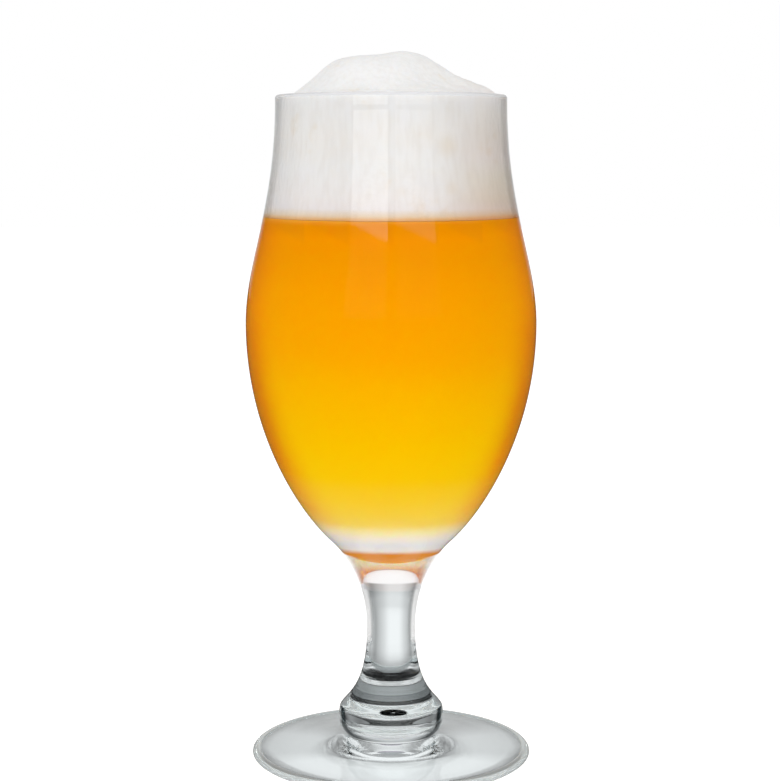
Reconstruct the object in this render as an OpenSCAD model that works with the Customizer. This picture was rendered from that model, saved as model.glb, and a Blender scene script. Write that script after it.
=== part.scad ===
// Stemmed beer glass with a tulip bowl, poured full, with a head of foam.
// Lengths are millimetres. The glass stands on z = 0 and every outline turns about the Z axis.
// The glass is four pieces fused face to face: bowl, stem, collar and foot.

/* [Bowl] */
// Height of the rim above the table
glass_h = 184; // [176:1:192]
// Outside diameter at the rim
rim_d = 63.1; // [60:0.1:66]
// Wall thickness at the rim
lip_t = 1.8; // [1.2:0.1:2.2]
// Outside diameter at the widest part
belly_d = 80; // [76:0.5:84]
// Height of the widest part above the table
belly_h = 121.5; // [116:0.5:126]
// Wall thickness at the widest part
wall_t = 2; // [1.4:0.1:2.6]
// How far the wall stays nearly upright below the rim, as a share of the drop to the widest part
rim_run_share = 0.49; // [0.4:0.01:0.56]
// How far it stays nearly upright above the widest part, as a share of the same drop
belly_rise_share = 0.29; // [0.22:0.01:0.36]
// How far it stays nearly upright below the widest part, as a share of the drop to the throat
belly_fall_share = 0.475; // [0.42:0.005:0.52]

/* [Throat] */
// Outside diameter where the bowl stops closing in and starts to sweep into the neck
throat_d = 33.6; // [31:0.2:36]
// Height of that place above the table
throat_h = 61.3; // [59:0.1:63]
// Slope of the wall there, in degrees from the table
throat_slope = 43; // [40:1:46]
// How far above the throat the wall keeps its slope, as a share of the rise to the widest part
throat_rise_share = 0.226; // [0.17:0.002:0.27]
// How far below the throat the wall keeps its slope, as a share of the drop to the waist
throat_fall_share = 0.035; // [0.02:0.005:0.07]
// How far the hollow's floor lies below the throat
floor_sink = 2.7; // [1:0.1:4]
// How far the hollow's floor stays nearly level, as a share of the throat's radius
floor_run_share = 0.83; // [0.66:0.01:0.95]
// How far the hollow's wall stays nearly upright, as a share of its drop to the floor
hollow_fall_share = 0.62; // [0.54:0.01:0.67]

/* [Stem] */
// Diameter of the stem at its waist
waist_d = 13.5; // [11.3:0.2:14.1]
// Height of the waist above the table
waist_h = 36.4; // [34:0.2:39]
// How far above the waist the stem stays nearly upright, as a share of the rise to the throat
waist_rise_share = 0.64; // [0.56:0.01:0.78]
// How far below the waist the stem stays nearly upright, as a share of the drop to the collar
waist_fall_share = 0.77; // [0.62:0.01:0.9]
// Share of the sweep from throat to waist that belongs to the bowl
seam_share = 0.72; // [0.6:0.01:0.85]
// Slope of the flare at its lower end, in degrees from the table
flare_slope = 60; // [54:1:66]
// How far the flare keeps that slope, as a share of the drop from the waist to the collar
flare_run_share = 0.14; // [0.08:0.005:0.24]

/* [Collar] */
// Largest diameter of the collar
collar_d = 29.2; // [26:0.2:32]
// Height of the collar
collar_h = 8.2; // [7:0.1:11]
// Height of the rounding at the collar's upper edge
shoulder_h = 2.2; // [0.8:0.1:3]
// How far the flare of the stem stands in from the collar's side
shoulder_w = 0.5; // [0.2:0.1:1]
// Height of the rounded underside, where the collar draws in to the foot
tuck_h = 4; // [3:0.1:5]
// How far the underside draws in from the collar's side
tuck_w = 2.7; // [1.5:0.1:4]

/* [Foot] */
// Outside diameter of the foot
foot_d = 78; // [72:0.5:84]
// Height of the collar's seat above the table
foot_h = 6; // [4.6:0.1:7]
// Thickness of the rounded edge of the foot
edge_t = 2.4; // [1.8:0.1:3]
// Width of the rounded edge, seen from above
edge_w = 2.1; // [1.6:0.1:3]
// Depth of the crease where the edge meets the sloping top
crease_t = 0.3; // [0.1:0.1:0.5]
// Width of the hollow sweep round the collar's seat
cove_w = 4.2; // [3:0.2:6]
// Width of the flat ring that the glass rests on
rest_w = 3.6; // [2:0.2:6]
// Height of the hollow under the middle of the foot
kick_h = 2.2; // [1:0.1:3]

/* [Drink] */
// Depth of the foam inside the bowl, from the rim down to the beer
head_depth = 33.3; // [28:0.1:42]
// Height of the foam's peak above the rim
foam_rise = 11.8; // [8:0.1:16]

/* [Hidden] */
$fn = 96;

// Chords in each curve of an outline, and in each small rounding
curve_steps = 16;
round_steps = 8;

// Rings and spokes of the foam's crown, and levels of its side
crown_rings = 14;
crown_spokes = 60;
side_levels = 6;

// Radii that follow from the named diameters and widths
rim_r = rim_d / 2;
belly_r = belly_d / 2;
throat_r = throat_d / 2;
waist_r = waist_d / 2;
collar_r = collar_d / 2;
flare_r = collar_r - shoulder_w;
seat_r = collar_r - tuck_w;
foot_r = foot_d / 2;

// Heights that follow from the stack of pieces
lip_z = glass_h - lip_t / 2;
beer_z = glass_h - head_depth;
collar_z = foot_h + collar_h;

// A point of the cubic curve with control points a, b, c and d
function on_curve(a, b, c, d, t) =
    pow(1 - t, 3) * a + 3 * pow(1 - t, 2) * t * b + 3 * (1 - t) * t * t * c + pow(t, 3) * d;

// Points of that curve, from share t0 to share t1 of its run
function curve(p, t0 = 0, t1 = 1, steps = curve_steps) =
    [for (i = [0 : steps]) on_curve(p[0], p[1], p[2], p[3], t0 + (t1 - t0) * i / steps)];

// A quarter round of half-axes rx and rz about a centre, from angle a0 to angle a1
function arc(centre, rx, rz, a0, a1, steps = round_steps) =
    [for (i = [0 : steps])
        let (a = a0 + (a1 - a0) * i / steps)
        centre + [rx * cos(a), rz * sin(a)]];

// The list without its first point, to join curves that share an end
function after_first(list) = [for (i = [1 : len(list) - 1]) list[i]];

// A step of the given length along a slope
function slope_step(length, slope) = length * [cos(slope), sin(slope)];

// Outside of the glass, from the foot end of the stem up to the rim
throat = [throat_r, throat_h];
waist = [waist_r, waist_h];
flare_end = [flare_r, collar_z];
mouth_drop = lip_z - belly_h;
bowl_drop = belly_h - throat_h;
neck_drop = throat_h - waist_h;
stem_drop = waist_h - collar_z;
neck_sweep = [
    throat,
    throat - slope_step(throat_fall_share * neck_drop, throat_slope),
    waist + [0, waist_rise_share * neck_drop],
    waist
];
flare_sweep = [
    waist,
    waist - [0, waist_fall_share * stem_drop],
    flare_end + slope_step(flare_run_share * stem_drop, 180 - flare_slope),
    flare_end
];
belly_sweep = [
    [belly_r, belly_h],
    [belly_r, belly_h - belly_fall_share * bowl_drop],
    throat + slope_step(throat_rise_share * bowl_drop, throat_slope),
    throat
];
rim_sweep = [
    [rim_r, lip_z],
    [rim_r, lip_z - rim_run_share * mouth_drop],
    [belly_r, belly_h + belly_rise_share * mouth_drop],
    [belly_r, belly_h]
];
outer_wall = concat(
    curve(rim_sweep),
    after_first(curve(belly_sweep)),
    after_first(curve(neck_sweep, 0, seam_share))
);
seam = outer_wall[len(outer_wall) - 1];

// Inside of the bowl, from the floor up to the rim
floor_z = throat_h - floor_sink;
hollow_r = belly_r - wall_t;
hollow_drop = belly_h - floor_z;
floor_sweep = [
    [0, floor_z],
    [floor_run_share * throat_r, floor_z],
    [hollow_r, belly_h - hollow_fall_share * hollow_drop],
    [hollow_r, belly_h]
];
mouth_sweep = [
    [hollow_r, belly_h],
    [hollow_r, belly_h + belly_rise_share * mouth_drop],
    [rim_r - lip_t, lip_z - rim_run_share * mouth_drop],
    [rim_r - lip_t, lip_z]
];
inner_wall = concat(curve(floor_sweep), after_first(curve(mouth_sweep)));

// Radius of the hollow at a height, read along the chords of the inner wall
inner_table = [for (p = inner_wall) [p[1], p[0]]];
function hollow_at(z) = lookup(z, inner_table);

// Crown of the foam: one broad mound and some lumps, each with its place and width.
// Places and widths are shares of the mouth's radius, heights are shares of the mound's.
mound_share = [-0.15, 0.05, 0.6];
lump_shares = [
    [0.58, 0.1, 0.4, 0.47],
    [0.09, -0.1, 0.15, 0.06],
    [-0.5, -0.45, 0.25, 0.12],
    [0.35, -0.6, 0.24, 0.16],
    [-0.25, 0.65, 0.3, 0.2],
    [-0.72, 0.1, 0.2, 0.05]
];
// Height of the crown's plain rounded base, as a share of the mound's
base_share = 0.05;
// Distance from the foam's edge at which the crown nears its full height
edge_share = 0.05;

function mound(p) = exp(-pow(norm([p[0] - mound_share[0], p[1] - mound_share[1]]) / mound_share[2], 4));
function lump(p, s) = s[3] * exp(-pow(norm([p[0] - s[0], p[1] - s[1]]) / s[2], 2));
function sum_lumps(p, i = 0) = i < len(lump_shares) ? lump(p, lump_shares[i]) + sum_lumps(p, i + 1) : 0;
function edge_fade(r) = 1 - exp(-(1 - r) / edge_share);

// Height of the crown above the lip, at a place given in shares of the mouth's radius
function crown_share(p) =
    let (r = min(1, norm(p)))
    edge_fade(r) * (base_share * (1 - r * r) + mound(p) + sum_lumps(p));
function spoke(i) = 360 * i / crown_spokes;
function place(ring, i) = ring / crown_rings * [cos(spoke(i)), sin(spoke(i))];

// The tallest place of the crown, so that the peak stands at the named height
crown_peak = max([for (ring = [0 : crown_rings]) for (i = [0 : crown_spokes - 1]) crown_share(place(ring, i))]);
function crown_z(p) = lip_z + (foam_rise + lip_t / 2) * crown_share(p) / crown_peak;

// Points of the foam: levels of the side from the beer up, rings of the crown, then two middles
mouth_r = hollow_at(lip_z);
foam_points = concat(
    [for (k = [0 : side_levels - 1])
        let (z = beer_z + (lip_z - beer_z) * k / side_levels)
        for (i = [0 : crown_spokes - 1]) [hollow_at(z) * cos(spoke(i)), hollow_at(z) * sin(spoke(i)), z]],
    [for (ring = [crown_rings : -1 : 1])
        for (i = [0 : crown_spokes - 1])
            let (p = place(ring, i))
            [mouth_r * p[0], mouth_r * p[1], crown_z(p)]],
    [[0, 0, crown_z([0, 0])], [0, 0, beer_z]]
);
foam_layers = side_levels + crown_rings;
crown_middle = foam_layers * crown_spokes;
foam_middle = crown_middle + 1;
function foam_index(layer, i) = layer * crown_spokes + i % crown_spokes;
foam_faces = concat(
    [for (layer = [0 : foam_layers - 2])
        for (i = [0 : crown_spokes - 1])
            [foam_index(layer, i), foam_index(layer + 1, i), foam_index(layer + 1, i + 1)]],
    [for (layer = [0 : foam_layers - 2])
        for (i = [0 : crown_spokes - 1])
            [foam_index(layer, i), foam_index(layer + 1, i + 1), foam_index(layer, i + 1)]],
    [for (i = [0 : crown_spokes - 1])
        [foam_index(foam_layers - 1, i), crown_middle, foam_index(foam_layers - 1, i + 1)]],
    [for (i = [0 : crown_spokes - 1]) [foam_index(0, i), foam_index(0, i + 1), foam_middle]]
);

// Blown bowl with a fire-polished lip and a thick solid bottom
module bowl() {
    lip_centre = [rim_r - lip_t / 2, lip_z];
    color([0.86, 0.9, 0.91, 0.35])
        rotate_extrude()
            polygon(concat(
                [[0, floor_z]],
                after_first(inner_wall),
                after_first(arc(lip_centre, lip_t / 2, lip_t / 2, 180, 0)),
                after_first(outer_wall),
                [[0, seam[1]]]
            ));
}

// Solid drawn stem, waisted, with a flare at its lower end
module stem() {
    color([0.84, 0.88, 0.89, 0.5])
        rotate_extrude()
            polygon(concat(
                [[0, seam[1]]],
                curve(neck_sweep, seam_share, 1),
                after_first(curve(flare_sweep)),
                [[0, collar_z]]
            ));
}

// Squat ring between the flare and the foot, drawn in below like a button
module foot_collar() {
    shoulder = [flare_r, collar_z - shoulder_h];
    tuck = [
        [collar_r, foot_h + tuck_h],
        [collar_r, foot_h + tuck_h / 2],
        [seat_r + tuck_w / 2, foot_h],
        [seat_r, foot_h]
    ];
    color([0.8, 0.85, 0.87, 0.5])
        rotate_extrude()
            polygon(concat(
                [[0, collar_z]],
                arc(shoulder, shoulder_w, shoulder_h, 90, 0),
                curve(tuck),
                [[0, foot_h]]
            ));
}

// Shallow cone with a rounded edge, a flat ring to rest on and a hollow underside
module foot() {
    rest_r = foot_r - edge_w;
    bead = [rest_r, edge_t / 2];
    crease = [rest_r - crease_t, edge_t - crease_t];
    cove_r = seat_r + cove_w;
    top_sweep = [
        crease,
        crease + [-(crease[0] - cove_r), (foot_h - edge_t) / 2],
        [cove_r, foot_h - crease_t],
        [seat_r, foot_h]
    ];
    hollow_edge = rest_r - rest_w;
    kick_sweep = [
        [0, kick_h],
        [hollow_edge / 2, kick_h],
        [hollow_edge * 3 / 4, kick_h / 4],
        [hollow_edge, 0]
    ];
    color([0.82, 0.87, 0.88, 0.5])
        rotate_extrude()
            polygon(concat(
                curve(kick_sweep),
                arc(bead, edge_w, edge_t / 2, -90, 90),
                curve(top_sweep),
                [[0, foot_h]]
            ));
}

// The drink: it fills the bowl from the floor to the foam
module beer() {
    below = [for (p = inner_wall) if (p[1] < beer_z && p[0] > 0) p];
    color([0.98, 0.66, 0.05])
        rotate_extrude()
            polygon(concat(
                [[0, floor_z]],
                below,
                [[hollow_at(beer_z), beer_z], [0, beer_z]]
            ));
}

// The head: it fills the mouth of the bowl and stands above the rim in soft lumps
module foam_head() {
    color([0.95, 0.95, 0.94])
        polyhedron(foam_points, foam_faces, convexity = 4);
}

bowl();
stem();
foot_collar();
foot();
beer();
foam_head();
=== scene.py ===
# A stemmed beer glass, poured full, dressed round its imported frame.
# Lengths in the settings of the pieces are millimetres, turned to metres where used. The studio's are metres.
import math
import bpy
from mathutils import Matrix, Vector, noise


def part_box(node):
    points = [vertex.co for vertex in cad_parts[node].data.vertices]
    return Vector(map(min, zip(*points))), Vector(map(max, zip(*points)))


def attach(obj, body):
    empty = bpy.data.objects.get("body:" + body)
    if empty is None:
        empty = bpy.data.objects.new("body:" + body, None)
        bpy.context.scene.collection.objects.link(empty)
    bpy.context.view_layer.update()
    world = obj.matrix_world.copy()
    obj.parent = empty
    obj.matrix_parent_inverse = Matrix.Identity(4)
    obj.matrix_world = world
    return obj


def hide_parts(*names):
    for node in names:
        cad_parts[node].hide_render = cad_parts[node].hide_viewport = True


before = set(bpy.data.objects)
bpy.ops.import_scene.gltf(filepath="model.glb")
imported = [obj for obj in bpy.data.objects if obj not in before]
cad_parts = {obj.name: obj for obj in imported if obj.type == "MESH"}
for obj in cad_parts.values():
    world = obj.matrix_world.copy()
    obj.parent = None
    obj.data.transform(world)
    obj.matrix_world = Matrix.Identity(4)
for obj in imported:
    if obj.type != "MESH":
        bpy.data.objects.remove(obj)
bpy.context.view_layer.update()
print("frame loaded:", sorted(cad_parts))

mm = 0.001
slack = 0.05  # millimetres: a face or point this close to a height or radius lies on it
weld = 0.002  # millimetres between points that are one
levelNormal = 0.9999  # a face whose normal points this steeply up or down is level
scene = bpy.context.scene


def fromHex(code):
    channels = [int(code[i:i + 2], 16) / 255 for i in (1, 3, 5)]
    return [c / 12.92 if c <= 0.04045 else ((c + 0.055) / 1.055) ** 2.4 for c in channels] + [1.0]


# A stop's value is a hex colour or a grey level
def setStops(ramp, stops):
    while len(ramp.elements) > 1:
        ramp.elements.remove(ramp.elements[-1])
    for i, (place, colour) in enumerate(stops):
        stop = ramp.elements[0] if i == 0 else ramp.elements.new(place)
        stop.position = place
        stop.color = fromHex(colour) if isinstance(colour, str) else [colour, colour, colour, 1.0]


# A setting is a ramp's stops, a property of the node, or the value of an input by its name or number
def addNode(tree, kind, settings=None, links=None):
    node = tree.nodes.new("ShaderNode" + kind)
    for name, value in (settings or {}).items():
        if name == "stops":
            setStops(node.color_ramp, value)
        elif isinstance(name, str) and hasattr(node, name):
            setattr(node, name, value)
        else:
            node.inputs[name].default_value = value
    for name, source in (links or {}).items():
        tree.links.new(source, node.inputs[name])
    return node


def startTree(owner):
    owner.use_nodes = True
    owner.node_tree.nodes.clear()
    return owner.node_tree


# Stops written in real measures become shares of the whole, as a ramp takes them
def shares(stops, whole):
    return [(place / whole, value) for place, value in stops]


def onCurve(handles, t):
    weights = [(1 - t) ** 3, 3 * (1 - t) ** 2 * t, 3 * (1 - t) * t * t, t ** 3]
    return [sum(w * p[axis] for w, p in zip(weights, handles)) for axis in (0, 1)]


def sweep(handles, steps, start=0.0, end=1.0):
    return [onCurve(handles, start + (end - start) * i / steps) for i in range(steps + 1)]


def along(place, length, slope):
    angle = math.radians(slope)
    return [place[0] + length * math.cos(angle), place[1] + length * math.sin(angle)]


def rounding(centre, across, up, fromAngle, toAngle, steps):
    angles = [math.radians(fromAngle + (toAngle - fromAngle) * i / steps) for i in range(steps + 1)]
    return [[centre[0] + across * math.cos(a), centre[1] + up * math.sin(a)] for a in angles]


def radiusAt(wall, height):
    for low, high in zip(wall, wall[1:]):
        if low[1] <= height <= high[1] and high[1] > low[1]:
            return low[0] + (high[0] - low[0]) * (height - low[1]) / (high[1] - low[1])
    return wall[-1][0] if height > wall[-1][1] else 0.0


# The outline is drawn from one point by extruding it, and then spun round the glass's axis
def turnOutline(name, outline, turns, sharpest=40):
    bpy.ops.object.select_all(action="DESELECT")
    bpy.ops.mesh.primitive_plane_add(size=mm, location=(0, 0, 0))
    piece = bpy.context.object
    piece.name = name
    bpy.ops.object.mode_set(mode="EDIT")
    bpy.ops.mesh.select_all(action="SELECT")
    bpy.ops.mesh.merge(type="CENTER")
    at = [0.0, 0.0]
    for number, place in enumerate(outline):
        step = ((place[0] - at[0]) * mm, 0, (place[1] - at[1]) * mm)
        if number == 0:
            bpy.ops.transform.translate(value=step)
        else:
            bpy.ops.mesh.extrude_region_move(TRANSFORM_OT_translate={"value": step})
        at = place
    bpy.ops.mesh.select_all(action="SELECT")
    bpy.ops.mesh.spin(steps=turns, angle=math.tau, center=(0, 0, 0), axis=(0, 0, 1))
    bpy.ops.mesh.select_all(action="SELECT")
    bpy.ops.mesh.remove_doubles(threshold=weld * mm)
    bpy.ops.mesh.normals_make_consistent(inside=False)
    bpy.ops.object.mode_set(mode="OBJECT")
    bpy.ops.object.shade_smooth_by_angle(angle=math.radians(sharpest))
    piece.data.name = name
    return piece


# Materials go by zone names, and zoneOf says which zone a face is in
def dress(piece, materials, zoneOf=None):
    for material in materials.values():
        piece.data.materials.append(material)
    if zoneOf:
        zones = list(materials)
        for face in piece.data.polygons:
            centre = face.center / mm
            zone = zoneOf(math.hypot(centre.x, centre.y), centre.z, face.normal)
            face.material_index = zones.index(zone)


def seat(piece, node):
    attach(piece, "root")
    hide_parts(node)
    print("made", piece.name, len(piece.data.polygons), "faces")


# Sizes that the frame gives
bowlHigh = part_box("bowl")[1]
beerLow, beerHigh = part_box("beer")
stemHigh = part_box("stem")[1]
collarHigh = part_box("foot_collar")[1]
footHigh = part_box("foot")[1]
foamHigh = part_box("foam_head")[1]

rimHeight = bowlHigh.z / mm
bellyRadius = bowlHigh.x / mm
floorHeight = beerLow.z / mm
beerHeight = beerHigh.z / mm
seamHeight = stemHigh.z / mm
collarTop = collarHigh.z / mm
collarRadius = collarHigh.x / mm
seatHeight = footHigh.z / mm
footRadius = footHigh.x / mm
foamTop = foamHigh.z / mm

# Finishes of the glass. Edges go by how far a face turns away, from 0 to 1; the edge colour is partly a real
# tint and partly painted shade. Film is a share of matt foam film, and gloss is less than 1 where the
# photograph shows no window on the glass.
sodaLime = {
    "colour": "#FFFFFF", "edgeTintAndShade": "#FFFFFF", "shadowColour": "#FFFFFF",
    "edgeStart": 0.6, "edgeFull": 0.95, "waveLength": 26, "waveDepth": 0.02,
    "ior": 1.52, "film": 0.0, "gloss": 1.0,
}
# pressed and footed glass: the edge colour is partly a real tint and partly painted shade
pressedGlass = dict(sodaLime, colour="#F2F7F8", edgeTintAndShade="#50585A", shadowColour="#F8F9F9", waveLength=18,
                    waveDepth=0.015)
footedGlass = dict(sodaLime, colour="#EDF3F4", edgeTintAndShade="#C8D0D2", shadowColour="#F6F8F8", waveLength=24,
                   waveDepth=0.03, edgeStart=0.8, edgeFull=1.0)
# painted shade: a nearly black band just inside the outline of thick glass
darkSides = [(0.44, "#F2F7F8"), (0.55, "#101618"), (0.72, "#101618"), (0.82, "#F0F4F4")]


# The colour of glass, from face on to edge on; toward the edge it is partly a real tint and partly painted
# shade
def glassTint(tree, look, turnedAway, height):
    edgeShare = addNode(tree, "MapRange", {"From Min": look["edgeStart"], "From Max": look["edgeFull"],
                                           "interpolation_type": "SMOOTHSTEP"}, {"Value": turnedAway})
    tint = addNode(tree, "Mix",
                   {"data_type": "RGBA", 6: fromHex(look["colour"]), 7: fromHex(look["edgeTintAndShade"])},
                   {0: edgeShare.outputs["Result"]})
    if "edgeShadeByHeight" in look:  # painted shade: the edge is darkened in the hues of what the wall holds
        edgeShade = addNode(tree, "ValToRGB", {"stops": shares(look["edgeShadeByHeight"], rimHeight)},
                           {"Fac": height})
        tree.links.new(edgeShade.outputs["Color"], tint.inputs[7])
    if "sideBands" not in look:
        return tint.outputs[2]
    # painted shade: thick glass is drawn nearly black in a band just inside its outline, and clear at the
    # edge
    bands = addNode(tree, "ValToRGB", {"stops": look["sideBands"]}, {"Fac": turnedAway})
    side = addNode(tree, "NewGeometry")
    banded = addNode(tree, "Mix", {"data_type": "RGBA"},
                     {0: side.outputs["Backfacing"], 6: bands.outputs["Color"], 7: tint.outputs[2]})
    return banded.outputs[2]


# The window shows on the wall over the foam and ends aslant over the beer
def windowGloss(tree, look, axes):
    left, right, slope = look["windowSlant"]
    across = addNode(tree, "Math", {"operation": "WRAP", 1: right * mm, 2: left * mm},
                     {0: axes.outputs["X"]})
    lifted = addNode(tree, "Math", {"operation": "MULTIPLY_ADD", 1: slope},
                     {0: across.outputs[0], 2: axes.outputs["Z"]})
    level = addNode(tree, "MapRange", {"From Max": rimHeight * mm}, {"Value": lifted.outputs[0]})
    byLevel = addNode(tree, "ValToRGB", {"stops": shares(look["glossByHeight"], rimHeight)},
                      {"Fac": level.outputs["Result"]})
    return byLevel.outputs["Color"]


# Against a bright backdrop the outermost edge is half lost in its glare
def edgeGlare(tree, look, turnedAway, height):
    start, full, most = look["flare"]
    glare = addNode(tree, "MapRange", {"From Min": start, "From Max": full, "To Max": most},
                    {"Value": turnedAway}).outputs["Result"]
    if "flareByHeight" in look:
        bare = addNode(tree, "ValToRGB", {"stops": shares(look["flareByHeight"], rimHeight)},
                       {"Fac": height})
        glare = addNode(tree, "Math", {"operation": "MULTIPLY"},
                        {0: glare, 1: bare.outputs["Color"]}).outputs[0]
    return glare


# Soda-lime glass, blown or pressed and fire polished: bright, hard and almost colourless. Its surface is
# faintly wavy from the mould. Seen edge on its colour darkens, partly a real tint where light runs along the
# wall and partly painted shade.
def sodaLimeGlass(name, look):
    material = bpy.data.materials.new(name)
    tree = startTree(material)
    place = addNode(tree, "TexCoord").outputs["Object"]
    axes = addNode(tree, "SeparateXYZ", links={0: place})
    height = addNode(tree, "MapRange", {"From Max": rimHeight * mm}, {"Value": axes.outputs["Z"]}).outputs[0]
    wave = addNode(tree, "TexNoise", {"Scale": 1 / (look["waveLength"] * mm), "Detail": 1.0},
                   {"Vector": place})
    bump = addNode(tree, "Bump", {"Strength": 1.0, "Distance": look["waveDepth"] * mm},
                   {"Height": wave.outputs["Fac"]})
    turnedAway = addNode(tree, "LayerWeight", {"Blend": 0.5}).outputs["Facing"]
    gloss = look["gloss"]
    glass = addNode(tree, "BsdfPrincipled",
                    {"Transmission Weight": 1.0 - look["film"], "IOR": look["ior"], "Roughness": 0.0,
                     "Specular Tint": (gloss, gloss, gloss, 1.0)},
                    {"Base Color": glassTint(tree, look, turnedAway, height),
                     "Normal": bump.outputs["Normal"]})
    if "glossByHeight" in look:
        tree.links.new(windowGloss(tree, look, axes), glass.inputs["Specular Tint"])
    clear = addNode(tree, "BsdfTransparent", {"Color": fromHex(look["shadowColour"])})
    body = glass
    if "flare" in look:
        glare = edgeGlare(tree, look, turnedAway, height)
        bright = addNode(tree, "BsdfTransparent")
        body = addNode(tree, "MixShader", links={0: glare, 1: glass.outputs[0], 2: bright.outputs[0]})
    path = addNode(tree, "LightPath")
    # lamps and bounced light pass straight through, so the beer and foam inside are lit without caustics
    forShadow = addNode(tree, "MixShader", links={0: path.outputs["Is Shadow Ray"], 1: body.outputs[0],
                                                  2: clear.outputs[0]})
    forDiffuse = addNode(tree, "MixShader", links={0: path.outputs["Is Diffuse Ray"], 1: forShadow.outputs[0],
                                                   2: clear.outputs[0]})
    addNode(tree, "OutputMaterial", links={"Surface": forDiffuse.outputs[0]})
    return material


# Where two gathers are fused, or beer wets the wall, there is no air and so nothing to bend or mirror light.
# The bubble setting puts a painted dark mark on a seam, seen from above: painted shade; its levels go by
# distance from its middle.
def fusedGlass(name, bubble=None):
    material = bpy.data.materials.new(name)
    tree = startTree(material)
    clear = addNode(tree, "BsdfTransparent")
    if bubble:
        place = addNode(tree, "TexCoord").outputs["Object"]
        squash = (1, bubble["squash"], 0)
        middle = (-bubble["x"] * mm, -bubble["y"] * bubble["squash"] * mm, 0)
        flat = addNode(tree, "VectorMath", {"operation": "MULTIPLY_ADD", 1: squash, 2: middle}, {0: place})
        away = addNode(tree, "VectorMath", {"operation": "LENGTH"}, {0: flat.outputs[0]})
        reach = addNode(tree, "MapRange", {"From Max": bubble["reach"] * mm},
                        {"Value": away.outputs["Value"]})
        marked = addNode(tree, "ValToRGB", {"stops": shares(bubble["levels"], bubble["reach"])},
                         {"Fac": reach.outputs["Result"]})
        side = addNode(tree, "NewGeometry")
        fromAbove = addNode(tree, "Mix", {"data_type": "RGBA", 6: (1, 1, 1, 1)},
                            {0: side.outputs["Backfacing"], 7: marked.outputs["Color"]})
        tree.links.new(fromAbove.outputs[2], clear.inputs["Color"])
    addNode(tree, "OutputMaterial", links={"Surface": clear.outputs[0]})
    return material


fusedSeam = fusedGlass("fusedGlassSeam")

# The glass: bowl, stem, collar and foot share one outline, so their settings stand together
bowlSettings = {
    "rimDiameter": 63.1, "lipThickness": 1.8, "wallThickness": 2.0, "bellyHeight": 121.5,
    "rimRun": 0.49, "bellyRise": 0.29, "bellyFall": 0.475,
    "throatDiameter": 33.6, "throatHeight": 61.3, "throatSlope": 43, "throatRise": 0.226, "throatFall": 0.035,
    "floorRun": 0.83, "hollowFall": 0.62, "neckTop": 58, "innerReach": 0.6, "turns": 168,
    "steps": {"floor": 40, "mouth": 32, "lip": 16, "rim": 32, "belly": 36, "neck": 24},
    "wall": dict(
        sodaLime, edgeStart=0.36, edgeFull=0.72, flare=(0.6, 0.9, 0.45),
        flareByHeight=[(150.8, 0.0), (151.2, 1.0)],
        # painted shade: the wall's edge darkens the beer's outline in its own hues
        edgeShadeByHeight=[(48, "#FFDAFA"), (56, "#FFE8FF"), (60, "#FFFFFF"), (64, "#FFFFFF"), (66, "#FFEDFF"),
                      (73, "#FFBCFF"), (79.5, "#F9ADFF"), (86, "#F18EE7"), (93, "#DF8BBC"), (100, "#DE8BA0"),
                      (106, "#E39595"), (113, "#E5A67C"), (122, "#F3BF6C"), (128, "#FFD77C"),
                      (150.4, "#FFDF7C"), (151.2, "#FFFFFF")],
        glossByHeight=[(60, 0.6), (70, 0.1), (144.8, 0.1), (145.8, 1.0)], windowSlant=(-11, 0.6, 0.5)),
    "neck": dict(sodaLime, edgeTintAndShade="#FFEEFF", edgeStart=0.36, edgeFull=0.72, gloss=0.5,
                 flare=(0.35, 0.8, 0.8)),
    "lip": dict(sodaLime, colour="#EEEEF0", film=0.6),
    "foamed": dict(sodaLime, waveLength=0.9, waveDepth=0.03, flare=(0.18, 0.26, 0.85)),
}
stemSettings = {
    "waistDiameter": 13.5, "waistHeight": 36.4, "waistRise": 0.64, "waistFall": 0.77, "seamShare": 0.72,
    "flareSlope": 60, "flareRun": 0.14, "ringsLow": 16, "ringsHigh": 21, "ringPitch": 1.3, "ringDepth": 0.03,
    "turns": 216, "steps": {"neck": 16, "flare": 120},
    "glass": dict(pressedGlass, edgeTintAndShade="#404648", edgeStart=0.82, edgeFull=0.99, gloss=0.15,
                  flare=(0.3, 0.5, 0.7), flareByHeight=[(30, 0.0), (33, 1.0)]),
    # painted shade: a dark mark on the lower seam, seen from above through the collar
    "bubble": {"x": 0.6, "y": -11, "squash": 1.7, "reach": 20,
               "levels": [(0.3, 0.5), (0.6, 0.02), (3.4, 0.02), (4.0, 1.0)]},
}
collarSettings = {
    "shoulderHeight": 2.2, "shoulderWidth": 0.5, "tuckHeight": 4, "tuckWidth": 2.7, "creaseHeight": 0.8,
    "turns": 216, "steps": {"shoulder": 20, "tuck": 40},
    "glass": dict(pressedGlass, sideBands=darkSides),
    # painted shade: the tuck is drawn grey and the crease nearly black, where the collar meets the foot
    "tuck": dict(pressedGlass, colour="#A6ACAE", sideBands=darkSides),
    "crease": dict(pressedGlass, colour="#080909", edgeTintAndShade="#080909", sideBands=[(0.0, "#F2F7F8")]),
}
footSettings = {
    "edgeThickness": 2.4, "edgeWidth": 2.1, "creaseDepth": 0.3, "coveWidth": 4.2, "restWidth": 3.6,
    "kickHeight": 2.2, "turns": 216, "steps": {"kick": 24, "edge": 16, "top": 64},
    "glass": dict(footedGlass, flare=(0.78, 0.97, 0.6)),
    "rim": dict(footedGlass, colour="#E8EEEF", film=0.4),
}

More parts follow.
